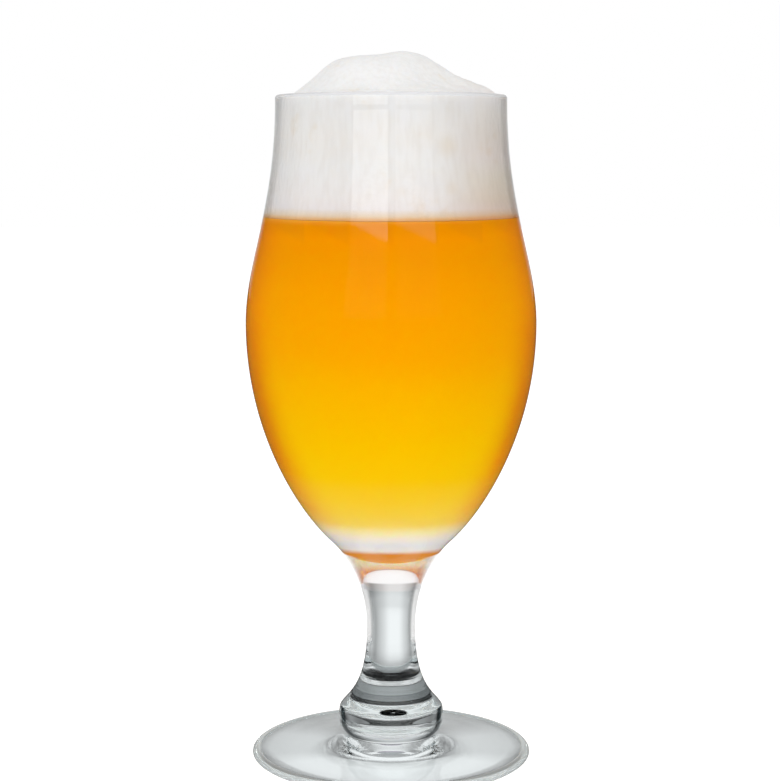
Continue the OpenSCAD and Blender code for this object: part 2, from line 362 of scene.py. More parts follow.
lipRadius = bowlSettings["lipThickness"] / 2
lipHeight = rimHeight - lipRadius
rimRadius = bowlSettings["rimDiameter"] / 2
mouthRadius = rimRadius - bowlSettings["lipThickness"]
hollowRadius = bellyRadius - bowlSettings["wallThickness"]
bellyHeight = bowlSettings["bellyHeight"]
mouthDrop = lipHeight - bellyHeight
bowlDrop = bellyHeight - bowlSettings["throatHeight"]
neckDrop = bowlSettings["throatHeight"] - stemSettings["waistHeight"]
stemDrop = stemSettings["waistHeight"] - collarTop
throat = [bowlSettings["throatDiameter"] / 2, bowlSettings["throatHeight"]]
waist = [stemSettings["waistDiameter"] / 2, stemSettings["waistHeight"]]
flareEnd = [collarRadius - collarSettings["shoulderWidth"], collarTop]
seatRadius = collarRadius - collarSettings["tuckWidth"]

rimSweep = [[rimRadius, lipHeight], [rimRadius, lipHeight - bowlSettings["rimRun"] * mouthDrop],
            [bellyRadius, bellyHeight + bowlSettings["bellyRise"] * mouthDrop], [bellyRadius, bellyHeight]]
bellySweep = [[bellyRadius, bellyHeight], [bellyRadius, bellyHeight - bowlSettings["bellyFall"] * bowlDrop],
              along(throat, bowlSettings["throatRise"] * bowlDrop, bowlSettings["throatSlope"]), throat]
neckSweep = [throat, along(throat, -bowlSettings["throatFall"] * neckDrop, bowlSettings["throatSlope"]),
             [waist[0], waist[1] + stemSettings["waistRise"] * neckDrop], waist]
flareSweep = [waist, [waist[0], waist[1] - stemSettings["waistFall"] * stemDrop],
              along(flareEnd, stemSettings["flareRun"] * stemDrop, 180 - stemSettings["flareSlope"]),
              flareEnd]
floorSweep = [[0, floorHeight], [bowlSettings["floorRun"] * throat[0], floorHeight],
              [hollowRadius, bellyHeight - bowlSettings["hollowFall"] * (bellyHeight - floorHeight)],
              [hollowRadius, bellyHeight]]
mouthSweep = [[hollowRadius, bellyHeight],
              [hollowRadius, bellyHeight + bowlSettings["bellyRise"] * mouthDrop],
              [mouthRadius, lipHeight - bowlSettings["rimRun"] * mouthDrop], [mouthRadius, lipHeight]]
innerWall = (sweep(floorSweep, bowlSettings["steps"]["floor"])
             + sweep(mouthSweep, bowlSettings["steps"]["mouth"])[1:])
# one ring of the wall lies exactly on the beer line, so the wetted part ends there
innerWall = sorted(innerWall + [[radiusAt(innerWall, beerHeight), beerHeight]], key=lambda p: p[1])


def makeBowl():
    steps = bowlSettings["steps"]
    outline = (innerWall
               + rounding([rimRadius - lipRadius, lipHeight], lipRadius, lipRadius, 180, 0, steps["lip"])[1:]
               + sweep(rimSweep, steps["rim"])[1:] + sweep(bellySweep, steps["belly"])[1:]
               + sweep(neckSweep, steps["neck"], 0, stemSettings["seamShare"])[1:] + [[0, seamHeight]])
    bowl = turnOutline("blownBowl", outline, bowlSettings["turns"])

    def zone(radius, height, normal):
        if height < seamHeight + slack:
            return "seam"
        if height > lipHeight:
            return "lip"
        if height < bowlSettings["neckTop"]:
            return "neck"
        if height < floorHeight - slack or radius > radiusAt(innerWall, height) + bowlSettings["innerReach"]:
            return "wall"
        return "wetted" if height < beerHeight else "foamed"
    dress(bowl, {"wall": sodaLimeGlass("blownBowlGlass", bowlSettings["wall"]),
                 "seam": fusedSeam,
                 "wetted": fusedGlass("wettedGlassWall"),
                 "foamed": sodaLimeGlass("foamTouchedGlass", bowlSettings["foamed"]),
                 "lip": sodaLimeGlass("foamFilmedLip", bowlSettings["lip"]),
                 "neck": sodaLimeGlass("drawnNeckGlass", bowlSettings["neck"])}, zone)
    seat(bowl, "bowl")


# Faint rings that the drawing tool leaves round the flare
def ringed(outline):
    low, high = stemSettings["ringsLow"], stemSettings["ringsHigh"]
    depths = [stemSettings["ringDepth"] * math.sin(math.pi * min(1, max(0, (z - low) / (high - low))))
              for r, z in outline]
    return [[r + depth * math.sin(math.tau * z / stemSettings["ringPitch"]), z]
            for (r, z), depth in zip(outline, depths)]


def makeStem():
    steps = stemSettings["steps"]
    outline = ([[0, seamHeight]] + sweep(neckSweep, steps["neck"], stemSettings["seamShare"], 1)
               + ringed(sweep(flareSweep, steps["flare"])[1:]) + [[0, collarTop]])
    stem = turnOutline("drawnStem", outline, stemSettings["turns"])

    def zone(radius, height, normal):
        if abs(normal.z) < levelNormal:
            return "glass"
        return "upperSeam" if height > waist[1] else "lowerSeam"
    dress(stem, {"glass": sodaLimeGlass("drawnStemGlass", stemSettings["glass"]),
                 "upperSeam": fusedSeam,
                 "lowerSeam": fusedGlass("shadeMarkedStemSeam", stemSettings["bubble"])}, zone)
    seat(stem, "stem")


def makeCollar():
    shape = collarSettings
    steps = shape["steps"]
    shoulder = [flareEnd[0], collarTop - shape["shoulderHeight"]]
    tuck = [[collarRadius, seatHeight + shape["tuckHeight"]],
            [collarRadius, seatHeight + shape["tuckHeight"] / 2],
            [seatRadius + shape["tuckWidth"] / 2, seatHeight], [seatRadius, seatHeight]]
    outline = ([[0, collarTop]]
               + rounding(shoulder, shape["shoulderWidth"], shape["shoulderHeight"], 90, 0, steps["shoulder"])
               + sweep(tuck, steps["tuck"]) + [[0, seatHeight]])
    collar = turnOutline("pressedCollar", outline, shape["turns"])

    def zone(radius, height, normal):
        if abs(normal.z) > levelNormal and radius < flareEnd[0]:
            return "seam"
        if height < seatHeight + shape["creaseHeight"]:
            return "crease"
        return "tuck" if height < seatHeight + shape["tuckHeight"] else "glass"
    dress(collar, {"glass": sodaLimeGlass("pressedCollarGlass", shape["glass"]),
                   "seam": fusedSeam,
                   "crease": sodaLimeGlass("creaseShadeGlass", shape["crease"]),
                   "tuck": sodaLimeGlass("shadedTuckGlass", shape["tuck"])}, zone)
    seat(collar, "foot_collar")


def makeFoot():
    shape = footSettings
    steps = shape["steps"]
    halfEdge = shape["edgeThickness"] / 2
    restRadius = footRadius - shape["edgeWidth"]
    crease = [restRadius - shape["creaseDepth"], shape["edgeThickness"] - shape["creaseDepth"]]
    coveRadius = seatRadius + shape["coveWidth"]
    hollowEdge = restRadius - shape["restWidth"]
    top = [crease, [coveRadius, crease[1] + (seatHeight - shape["edgeThickness"]) / 2],
           [coveRadius, seatHeight - shape["creaseDepth"]], [seatRadius, seatHeight]]
    kick = [[0, shape["kickHeight"]], [hollowEdge / 2, shape["kickHeight"]],
            [hollowEdge * 3 / 4, shape["kickHeight"] / 4], [hollowEdge, 0]]
    outline = (sweep(kick, steps["kick"])
               + rounding([restRadius, halfEdge], shape["edgeWidth"], halfEdge, -90, 90, steps["edge"])
               + sweep(top, steps["top"]) + [[0, seatHeight]])
    foot = turnOutline("pressedFoot", outline, shape["turns"])

    def zone(radius, height, normal):
        if normal.z > levelNormal and radius < seatRadius:
            return "seam"
        return "rim" if radius > restRadius else "glass"
    dress(foot, {"glass": sodaLimeGlass("pressedFootGlass", shape["glass"]),
                 "seam": fusedSeam,
                 "rim": sodaLimeGlass("wornFootRimGlass", shape["rim"])}, zone)
    seat(foot, "foot")


beerSettings = {
    "gap": 0.03, "topStep": 0.2, "turns": 144, "ior": 1.34, "roughness": 0.3,
    "haze": 0.9, "hazeReach": (14, 9, 3), "hazeScale": 1,
    # light wanders less just under the foam, where it would leave through the top
    "calmStart": 140, "calmFull": 150.5, "calmScale": 0.05,
    # haze drifts in the liquid, so the colour's levels are not quite flat; near the floor they are
    "drift": 34, "driftRise": 5, "driftStart": 70, "driftFull": 100,
    # painted light and shade by height: a pale ring of gathered light just above the floor, deeper orange
    # under the foam
    "byHeight": [(58, "#DE8632"), (61.6, "#E08C38"), (62, "#F0E9E4"), (64.2, "#E6E6E8"), (66, "#F4E8D8"),
                 (67.6, "#FCEAB0"), (70, "#FED660"), (73, "#FFD248"), (77, "#FFCE30"), (83, "#FFC908"),
                 (91, "#FFC400"), (100, "#FFBD00"), (108, "#FFB700"), (116, "#FFAC00"), (123, "#FCA800"),
                 (131, "#F6A400"), (141, "#F29D00"), (146, "#F49A00"), (148.6, "#EC9400"), (150, "#EC9404"),
                 (150.7, "#F8A838")],
    # painted light: the far half of the bottom, seen from below through the neck, is painted with a warm glow
    "farGlowByHeight": [(61.6, "#E08C38"), (62.2, "#EAA468"), (64, "#FAD6B0"), (66.5, "#FFE6C3"), (70, "#FFDCA0"),
                    (75, "#FFCC78"), (82, "#FFC440"), (92, "#FFC400")],
    "farTop": 92, "farStart": -3, "farFull": 14,
    # after several turns inside the glass, as from the foot up through the stem, the beer is drawn as a flat
    # grey glow: painted light
    "turnsToLose": 2.5, "lostGlowColour": "#A8ACAD",
}


# The colour goes by height, with painted light and shade, and the far half of the bottom has its own painted
# glow
def beerColour(tree, place, axes):
    look = beerSettings
    drift = addNode(tree, "TexNoise", {"Scale": 1 / (look["drift"] * mm), "Detail": 2.0}, {"Vector": place})
    lowered = addNode(tree, "Math", {"operation": "SUBTRACT", 1: look["driftRise"] / 2 * mm},
                      {0: axes.outputs["Z"]})
    level = addNode(tree, "Math", {"operation": "MULTIPLY_ADD", 1: look["driftRise"] * mm},
                    {0: drift.outputs["Fac"], 2: lowered.outputs[0]})
    driftShare = addNode(tree, "MapRange",
                         {"From Min": look["driftStart"] * mm, "From Max": look["driftFull"] * mm},
                         {"Value": axes.outputs["Z"]})
    drifted = addNode(tree, "Mix", {"data_type": "FLOAT"},
                      {0: driftShare.outputs["Result"], 2: axes.outputs["Z"], 3: level.outputs[0]})
    share = addNode(tree, "MapRange", {"From Max": rimHeight * mm}, {"Value": drifted.outputs[0]})
    near = addNode(tree, "ValToRGB", {"stops": shares(look["byHeight"], rimHeight)},
                   {"Fac": share.outputs["Result"]})
    far = addNode(tree, "ValToRGB", {"stops": shares(look["farGlowByHeight"], rimHeight)},
                  {"Fac": share.outputs["Result"]})
    below = addNode(tree, "Math", {"operation": "LESS_THAN", 1: look["farTop"] * mm}, {0: axes.outputs["Z"]})
    behind = addNode(tree, "MapRange", {"interpolation_type": "SMOOTHSTEP", "From Min": look["farStart"] * mm,
                                        "From Max": look["farFull"] * mm}, {"Value": axes.outputs["Y"]})
    farShare = addNode(tree, "Math", {"operation": "MULTIPLY"},
                       {0: below.outputs[0], 1: behind.outputs["Result"]})
    allRound = addNode(tree, "Mix", {"data_type": "RGBA"},
                       {0: farShare.outputs[0], 6: near.outputs["Color"], 7: far.outputs["Color"]})
    return allRound.outputs[2]


# Slightly hazy golden beer. Light that enters it wanders. Its colour by height is partly painted light and
# shade:
# deep orange under the foam, where the liquid is thick and shaded, pale yellow at the bottom, where it is
# thin and lit through the stem, and a painted pale ring of gathered light just above its floor.
def beerMaterial():
    look = beerSettings
    material = bpy.data.materials.new("goldenBeer")
    tree = startTree(material)
    place = addNode(tree, "TexCoord").outputs["Object"]
    axes = addNode(tree, "SeparateXYZ", links={0: place})
    reach = addNode(tree, "MapRange",
                    {"From Min": look["calmStart"] * mm, "From Max": look["calmFull"] * mm,
                     "To Min": look["hazeScale"] * mm, "To Max": look["calmScale"] * mm},
                    {"Value": axes.outputs["Z"]})
    beer = addNode(tree, "BsdfPrincipled",
                   {"Roughness": look["roughness"], "IOR": look["ior"], "Specular IOR Level": 0.0,
                    "Subsurface Weight": look["haze"], "Subsurface Radius": look["hazeReach"]},
                   {"Base Color": beerColour(tree, place, axes), "Subsurface Scale": reach.outputs["Result"]})
    # painted light: after several turns inside the glass the beer shows a flat grey glow
    path = addNode(tree, "LightPath")
    turned = addNode(tree, "Math", {"operation": "GREATER_THAN", 1: look["turnsToLose"]},
                     {0: path.outputs["Ray Depth"]})
    lost = addNode(tree, "Math", {"operation": "SUBTRACT", "use_clamp": True},
                   {0: turned.outputs[0], 1: path.outputs["Is Diffuse Ray"]})
    greyGlow = addNode(tree, "Emission", {"Color": fromHex(look["lostGlowColour"])})
    seen = addNode(tree, "MixShader", links={0: lost.outputs[0], 1: beer.outputs[0], 2: greyGlow.outputs[0]})
    addNode(tree, "OutputMaterial", links={"Surface": seen.outputs[0]})
    return material


def makeBeer():
    gap = beerSettings["gap"]
    top = beerHeight - gap
    wallTop = beerHeight - beerSettings["topStep"]
    wall = [[max(0, r - gap), z + gap] for r, z in innerWall if z + gap < wallTop]
    outline = wall + [[radiusAt(innerWall, top) - gap, top], [0, top]]
    beer = turnOutline("pouredBeer", outline, beerSettings["turns"])
    dress(beer, {"beer": beerMaterial()})
    seat(beer, "beer")


# The crown is a mound with lumps, each at x and y with a reach and a height, in shares of the mouth's radius
foamSettings = {
    "gap": 0.05, "turns": 240, "rings": 72, "sideSteps": 40, "sharpest": 60, "peakSteps": 60,
    "mound": (-0.15, 0.05, 0.6),
    "lumps": [(0.58, 0.1, 0.4, 0.47), (0.09, -0.1, 0.15, 0.06), (-0.5, -0.45, 0.25, 0.12),
              (0.35, -0.6, 0.24, 0.16), (-0.25, 0.65, 0.3, 0.2), (-0.72, 0.1, 0.2, 0.05)],
    "base": 0.05, "edge": 0.05,
    # small folds and crumbs, which fade out on the peak and where the foam meets the lip
    "fold": 5.5, "foldDepth": 0.9, "foldFade": 0.12, "foldRoughness": 0.9, "foldGap": 2.1, "foldLayers": 4,
    "ior": 1.34, "roughness": 0.9, "soft": 0.6, "softReach": (2.0, 1.8, 1.6),
    "bubble": 0.45, "bubbleDepth": 0.05,
    "blotch": 9, "blotches": [(0.35, "#F4F4F4"), (0.62, "#F3F2F0"), (0.8, "#EFE6D8")],
    # a warm stain where the foam sits on the beer, by height above it
    "byHeight": [(0, "#FFAE58"), (0.6, "#F6C48C"), (1.3, "#F2DCC2"), (3, "#F7F1F0"), (6, "#FAF6F5"),
                 (14, "#F9F8F7"), (22, "#F9F7F5"), (31, "#F5F5F5"), (35, "#FFFFFF")],
    # drained foam runs down the glass in faint streaks
    "streak": 1.3, "streakStretch": 0.22, "streaks": [(0.42, "#FFFFFF"), (0.68, "#FBFAF9")],
    # painted shade: the side away from the key lamp is darker and warmer toward the beer
    "sideShadeStart": 10, "sideShadeFull": 27,
    "sideShadeByHeight": [(0.5, "#EED6C0"), (2.5, "#EBDACD"), (5.3, "#E6D8C6"), (11, "#E9E0D2"), (16.5, "#ECE2DD"),
                     (22.5, "#EAE3DD"), (28, "#F0EBE6"), (33, "#F6F3F3"), (37, "#F9F6F3")],
    # a few patches have dried to cream, each at x, y and z with a reach
    "driedColour": "#F4E8D2", "driedShare": 0.6,
    "driedPatches": [(13.4, -25, 170, 4.8), (14.5, -26, 159, 3.4), (2.5, -29.5, 158, 3)],
}


def crownShare(x, y):
    look = foamSettings
    radius = min(1.0, math.hypot(x, y))
    fade = 1 - math.exp(-(1 - radius) / look["edge"])
    moundX, moundY, moundReach = look["mound"]
    mound = math.exp(-(math.hypot(x - moundX, y - moundY) / moundReach) ** 4)
    lumps = sum(rise * math.exp(-(math.hypot(x - lumpX, y - lumpY) / reach) ** 2)
                for lumpX, lumpY, reach, rise in look["lumps"])
    return fade * (look["base"] * (1 - radius * radius) + mound + lumps)


# Nearly white, with blotches, a stain over the beer, streaks, painted shade on the side away from the key
# lamp, and dried patches
def foamColour(tree, place, axes):
    look = foamSettings
    span = foamTop - beerHeight
    height = addNode(tree, "MapRange", {"From Min": beerHeight * mm, "From Max": foamTop * mm},
                     {"Value": axes.outputs["Z"]}).outputs["Result"]
    blotch = addNode(tree, "TexNoise", {"Scale": 1 / (look["blotch"] * mm), "Detail": 3.0, "Roughness": 0.6},
                     {"Vector": place})
    blotches = addNode(tree, "ValToRGB", {"stops": look["blotches"]}, {"Fac": blotch.outputs["Fac"]})
    stain = addNode(tree, "ValToRGB", {"stops": shares(look["byHeight"], span)}, {"Fac": height})
    colour = addNode(tree, "Mix", {"data_type": "RGBA", "blend_type": "MULTIPLY", 0: 1.0},
                     {6: blotches.outputs["Color"], 7: stain.outputs["Color"]})
    stretched = addNode(tree, "Mapping", {"Scale": (1, 1, look["streakStretch"])}, {"Vector": place})
    streak = addNode(tree, "TexNoise", {"Scale": 1 / (look["streak"] * mm), "Detail": 2.0},
                     {"Vector": stretched.outputs[0]})
    streaks = addNode(tree, "ValToRGB", {"stops": look["streaks"]}, {"Fac": streak.outputs["Fac"]})
    colour = addNode(tree, "Mix", {"data_type": "RGBA", "blend_type": "MULTIPLY", 0: 1.0},
                     {6: colour.outputs[2], 7: streaks.outputs["Color"]})
    # painted shade on the side away from the key lamp
    shaded = addNode(tree, "MapRange",
                     {"interpolation_type": "SMOOTHSTEP", "From Min": look["sideShadeStart"] * mm,
                      "From Max": look["sideShadeFull"] * mm}, {"Value": axes.outputs["X"]})
    sideShade = addNode(tree, "ValToRGB", {"stops": shares(look["sideShadeByHeight"], span)}, {"Fac": height})
    colour = addNode(tree, "Mix", {"data_type": "RGBA", "blend_type": "MULTIPLY"},
                     {0: shaded.outputs["Result"], 6: colour.outputs[2], 7: sideShade.outputs["Color"]})
    for x, y, z, reach in look["driedPatches"]:
        away = addNode(tree, "VectorMath", {"operation": "DISTANCE", 1: (x * mm, y * mm, z * mm)}, {0: place})
        dried = addNode(tree, "MapRange", {"interpolation_type": "SMOOTHSTEP", "From Max": reach * mm,
                                           "To Min": look["driedShare"], "To Max": 0.0},
                        {"Value": away.outputs["Value"]})
        colour = addNode(tree, "Mix", {"data_type": "RGBA", "blend_type": "MULTIPLY",
                                       7: fromHex(look["driedColour"])},
                         {0: dried.outputs["Result"], 6: colour.outputs[2]})
    return colour.outputs[2]


# Fresh foam is millions of fine bubbles: it scatters light like snow, so it is matt, white and soft.
# The bubbles are drawn coarser than most of the real ones, so that they show.
def foamMaterial():
    look = foamSettings
    material = bpy.data.materials.new("freshBeerFoam")
    tree = startTree(material)
    place = addNode(tree, "TexCoord").outputs["Object"]
    axes = addNode(tree, "SeparateXYZ", links={0: place})
    cells = addNode(tree, "TexVoronoi", {"Scale": 1 / (look["bubble"] * mm)}, {"Vector": place})
    bump = addNode(tree, "Bump", {"Strength": 0.5, "Distance": look["bubbleDepth"] * mm},
                   {"Height": cells.outputs["Distance"]})
    foam = addNode(tree, "BsdfPrincipled",
                   {"Roughness": look["roughness"], "IOR": look["ior"], "Specular IOR Level": 0.2,
                    "Subsurface Weight": look["soft"], "Subsurface Scale": mm,
                    "Subsurface Radius": look["softReach"]},
                   {"Base Color": foamColour(tree, place, axes), "Normal": bump.outputs["Normal"]})
    addNode(tree, "OutputMaterial", links={"Surface": foam.outputs[0]})
    return material


def makeFoam():
    look = foamSettings
    gap, rings, sideSteps, peakSteps = look["gap"], look["rings"], look["sideSteps"], look["peakSteps"]
    foot = beerHeight + gap
    heights = [foot + (lipHeight - foot) * i / sideSteps for i in range(sideSteps + 1)]
    side = [[radiusAt(innerWall, z) - gap, z] for z in heights]
    crown = [[(mouthRadius - gap) * (1 - i / rings), lipHeight] for i in range(1, rings + 1)]
    foam = turnOutline("foamHead", [[0, foot]] + side + crown, look["turns"], look["sharpest"])
    grid = range(-peakSteps, peakSteps + 1)
    peak = max(crownShare(x / peakSteps, y / peakSteps) for x in grid for y in grid
               if math.hypot(x, y) <= peakSteps)
    rise = foamTop - gap - lipHeight
    for vertex in foam.data.vertices:
        radius = math.hypot(vertex.co.x, vertex.co.y) / mm
        if vertex.co.z > (lipHeight - slack) * mm and radius < mouthRadius - gap - slack:
            share = crownShare(vertex.co.x / mm / mouthRadius, vertex.co.y / mm / mouthRadius) / peak
            folds = noise.fractal(vertex.co / (look["fold"] * mm), look["foldRoughness"], look["foldGap"],
                                  look["foldLayers"])
            relief = look["foldDepth"] * folds * (1 - share) * min(1, share / look["foldFade"])
            vertex.co.z = (lipHeight + rise * share + relief) * mm
    foam.data.update()
    dress(foam, {"foam": foamMaterial()})
    seat(foam, "foam_head")


makeBowl()
makeStem()
makeCollar()
makeFoot()
makeBeer()
makeFoam()

# Angles are degrees, and levels run from 0 to 1
studio = {
    "sky": 0.69, "dim": 0.04,
    # each window in the mirrored room is an azimuth, half a width and a strength
    "windows": [(-20, 17, 1.3), (22, 18, 0.6)], "windowLow": 4, "windowHigh": 25,
    "backStart": 150, "backFull": 170, "backLevel": 0.6,
    "floorSize": 8, "floorHeight": -0.00008, "floorColour": "#E8E8E8", "floorGlow": 0.6,
    "bounceNear": 0.42, "bounceReach": 0.6,
    "keyPlace": (-0.75, -1.0, 0.75), "keySize": 0.8, "keyWatts": 5.2,
    "fillPlace": (0.95, -0.8, 0.55), "fillSize": 0.8, "fillWatts": 3.1, "aimHeight": 0.1,
    # bright at the four quarters, dim at the four corners
    "turnShift": 5,
    "levelByTurn": [(0.0, 0.6), (0.05, 0.47), (0.165, 0.41), (0.36, 0.56), (0.73, 0.78), (0.95, 1.0)],
    "hazeGain": 0.72, "hazeLift": 0.12, "sideGain": 0.77,
    # what the glass shows of the paper behind, in front and under it, by shares of its reach, with painted
    # shadow under the foot and round its edge
    "paperReach": 0.1,
    "paperBehind": [(0.0, 0.005), (0.13, 0.015), (0.17, 0.25), (0.22, 0.36), (0.28, 0.41), (0.31, 0.48),
                    (0.37, 0.6), (0.41, 0.68), (0.45, 0.55), (0.48, 0.62), (0.55, 0.78), (0.65, 0.9),
                    (0.75, 0.97), (1.0, 1.0)],
    "paperInFront": [(0.0, 0.05), (0.08, 0.3), (0.11, 0.7), (0.14, 0.86), (0.17, 0.92), (0.2, 0.96),
                     (0.23, 1.0), (0.28, 0.97), (0.34, 0.86), (0.365, 0.45), (0.39, 0.4), (0.41, 0.6),
                     (0.44, 0.8)],
    "shadowUnderFoot": [(0.0, 0.01), (0.12, 0.1), (0.15, 0.5), (0.18, 0.7), (0.4, 0.7), (0.45, 1.0)],
    "stripesStart": 0.025, "stripesFull": 0.055, "hazeStart": 0.3, "hazeFull": 1.2,
    "behindStart": 0.35, "behindFull": 0.75, "frontFull": -0.5, "frontStart": -0.2,
    # a white sheet hangs behind from 14 degrees up, higher at the corners, with a ring of light over it
    "sheetSwing": 10, "sheetLow": 13.5, "sheetHigh": 15, "clearStart": 4, "clearFull": 8,
    "ceilingByRise": [(38.5, 1.0), (41, 0.42), (54, 0.45), (62, 0.8), (70, 1.0), (79, 1.0), (82, 0.3)],
    "cameraPlace": (-0.0003, -0.5367, 0.1679), "cameraPitch": 6.886,
    "lens": 90, "sensor": 36, "nearest": 0.01,
    # light crosses many faces inside the solid stem and foot
    "bounces": {"max_bounces": 32, "transmission_bounces": 32, "diffuse_bounces": 8, "glossy_bounces": 16,
                "transparent_max_bounces": 32},
}


# Level of the studio by direction round the glass, the same in each quarter
def stripes(tree, turned):
    quarters = 4
    shift = quarters * math.radians(studio["turnShift"])
    fourTimes = addNode(tree, "Math", {"operation": "MULTIPLY_ADD", 1: quarters, 2: shift}, {0: turned})
    wave = addNode(tree, "Math", {"operation": "COSINE"}, {0: fourTimes.outputs[0]})
    share = addNode(tree, "MapRange", {"From Min": -1.0, "From Max": 1.0}, {"Value": wave.outputs[0]})
    level = addNode(tree, "ValToRGB", {"stops": studio["levelByTurn"]}, {"Fac": share.outputs["Result"]})
    return level.outputs["Color"]


# What the glass shows of the paper: a strip behind it, a disc in front with a painted shadow ring at the
# foot's edge, and painted shadow under it
def paperThrough(tree, axes, away):
    reach = addNode(tree, "MapRange", {"From Max": studio["paperReach"]}, {"Value": away}).outputs["Result"]
    near = addNode(tree, "ValToRGB", {"stops": studio["paperBehind"]}, {"Fac": reach})
    inFront = addNode(tree, "ValToRGB", {"stops": studio["paperInFront"]}, {"Fac": reach})
    # painted shadow under the foot
    under = addNode(tree, "ValToRGB", {"stops": studio["shadowUnderFoot"]}, {"Fac": reach})
    turned = addNode(tree, "Math", {"operation": "ARCTAN2"}, {0: axes.outputs["X"], 1: axes.outputs["Y"]})
    corners = stripes(tree, turned.outputs[0])
    fading = addNode(tree, "MapRange", {"From Min": studio["hazeStart"], "From Max": studio["hazeFull"]},
                     {"Value": away})
    hazy = addNode(tree, "Math", {"operation": "MULTIPLY_ADD", 1: studio["hazeGain"], 2: studio["hazeLift"]},
                   {0: corners})
    faded = addNode(tree, "Mix", {"data_type": "RGBA"},
                    {0: fading.outputs["Result"], 6: corners, 7: hazy.outputs[0]})
    striped = addNode(tree, "MapRange",
                      {"From Min": studio["stripesStart"], "From Max": studio["stripesFull"]},
                      {"Value": away})
    farPaper = addNode(tree, "Mix", {"data_type": "RGBA", "blend_type": "MULTIPLY"},
                       {0: striped.outputs["Result"], 6: near.outputs["Color"], 7: faded.outputs[2]})
    depth = addNode(tree, "Math", {"operation": "DIVIDE"}, {0: axes.outputs["Y"], 1: away}).outputs[0]
    behind = addNode(tree, "MapRange", {"From Min": studio["behindStart"], "From Max": studio["behindFull"]},
                     {"Value": depth})
    allRound = addNode(tree, "Mix", {"data_type": "RGBA"},
                       {0: behind.outputs["Result"], 6: inFront.outputs["Color"], 7: farPaper.outputs[2]})
    notInFront = addNode(tree, "MapRange",
                         {"From Min": studio["frontFull"], "From Max": studio["frontStart"]},
                         {"Value": depth})
    shaded = addNode(tree, "Mix", {"data_type": "RGBA", "blend_type": "MULTIPLY"},
                     {0: notInFront.outputs["Result"], 6: allRound.outputs[2], 7: under.outputs["Color"]})
    return shaded.outputs[2]


# White studio paper. Through the glass it shows a white strip between dim corners, and painted shadow right
# under the foot.
def paperMaterial():
    material = bpy.data.materials.new("paleStudioPaper")
    tree = startTree(material)
    path = addNode(tree, "LightPath")
    paper = addNode(tree, "BsdfDiffuse", {"Color": fromHex(studio["floorColour"])})
    glow = addNode(tree, "Emission", {"Strength": studio["floorGlow"]})
    both = addNode(tree, "AddShader", links={0: paper.outputs[0], 1: glow.outputs[0]})
    shown = addNode(tree, "MixShader", links={0: path.outputs["Is Camera Ray"], 1: paper.outputs[0],
                                              2: both.outputs[0]})
    place = addNode(tree, "TexCoord").outputs["Object"]
    axes = addNode(tree, "SeparateXYZ", links={0: place})
    away = addNode(tree, "VectorMath", {"operation": "LENGTH"}, {0: place}).outputs["Value"]
    passed = addNode(tree, "Emission", links={"Color": paperThrough(tree, axes, away)})
    throughGlass = addNode(tree, "MixShader", links={0: path.outputs["Is Transmission Ray"],
                                                     1: shown.outputs[0], 2: passed.outputs[0]})
    mirror = addNode(tree, "Emission", {"Strength": studio["dim"]})
    inMirror = addNode(tree, "MixShader", links={0: path.outputs["Is Reflection Ray"],
                                                 1: throughGlass.outputs[0], 2: mirror.outputs[0]})
    # a bounce off matt foam or beer is a reflection too, and sees the lit paper as a light table
    table = addNode(tree, "MapRange", {"From Max": studio["bounceReach"], "To Min": studio["bounceNear"],
                                       "To Max": 0.0}, {"Value": away})
    tableGlow = addNode(tree, "Emission", links={"Strength": table.outputs["Result"]})
    bounced = addNode(tree, "AddShader", links={0: paper.outputs[0], 1: tableGlow.outputs[0]})
    lit = addNode(tree, "MixShader", links={0: path.outputs["Is Diffuse Ray"], 1: inMirror.outputs[0],
                                            2: bounced.outputs[0]})
    addNode(tree, "OutputMaterial", links={"Surface": lit.outputs[0]})
    return material


def makeFloor():
    bpy.ops.object.select_all(action="DESELECT")
    bpy.ops.mesh.primitive_plane_add(size=studio["floorSize"], location=(0, 0, studio["floorHeight"]))
    floor = bpy.context.object
    floor.name = "studioFloor"
    floor.data.materials.append(paperMaterial())


# The sheet, the dim sides under it and the ceiling over it
def backdrop(tree, turned, rise):
    zenith = 90
    sides = stripes(tree, turned)
    twice = addNode(tree, "Math", {"operation": "MULTIPLY", 1: 2.0}, {0: turned})
    halfTurn = addNode(tree, "Math", {"operation": "COSINE"}, {0: twice.outputs[0]})
    swing = studio["sheetSwing"]
    lowered = addNode(tree, "Math", {"operation": "SUBTRACT", 1: swing}, {0: rise})
    sheetRise = addNode(tree, "Math", {"operation": "MULTIPLY_ADD", 1: swing},
                        {0: halfTurn.outputs[0], 2: lowered.outputs[0]})
    sheetShare = addNode(tree, "MapRange", {"From Min": studio["sheetLow"], "From Max": studio["sheetHigh"]},
                         {"Value": sheetRise.outputs[0]})
    clearing = addNode(tree, "MapRange", {"From Min": studio["clearStart"], "From Max": studio["clearFull"]},
                       {"Value": rise})
    hazy = addNode(tree, "Math", {"operation": "MULTIPLY_ADD", 1: studio["hazeGain"], 2: studio["hazeLift"]},
                   {0: sides})
    plain = addNode(tree, "Math", {"operation": "MULTIPLY", 1: studio["sideGain"]}, {0: sides})
    low = addNode(tree, "Mix", {"data_type": "FLOAT"},
                  {0: clearing.outputs["Result"], 2: hazy.outputs[0], 3: plain.outputs[0]})
    sheet = addNode(tree, "Mix", {"data_type": "FLOAT", 3: 1.0},
                    {0: sheetShare.outputs["Result"], 2: low.outputs[0]})
    upward = addNode(tree, "MapRange", {"From Max": zenith}, {"Value": rise})
    ceiling = addNode(tree, "ValToRGB", {"stops": shares(studio["ceilingByRise"], zenith)},
                      {"Fac": upward.outputs["Result"]})
    through = addNode(tree, "Math", {"operation": "MULTIPLY"},
                      {0: sheet.outputs[0], 1: ceiling.outputs["Color"]})
    return through.outputs[0]


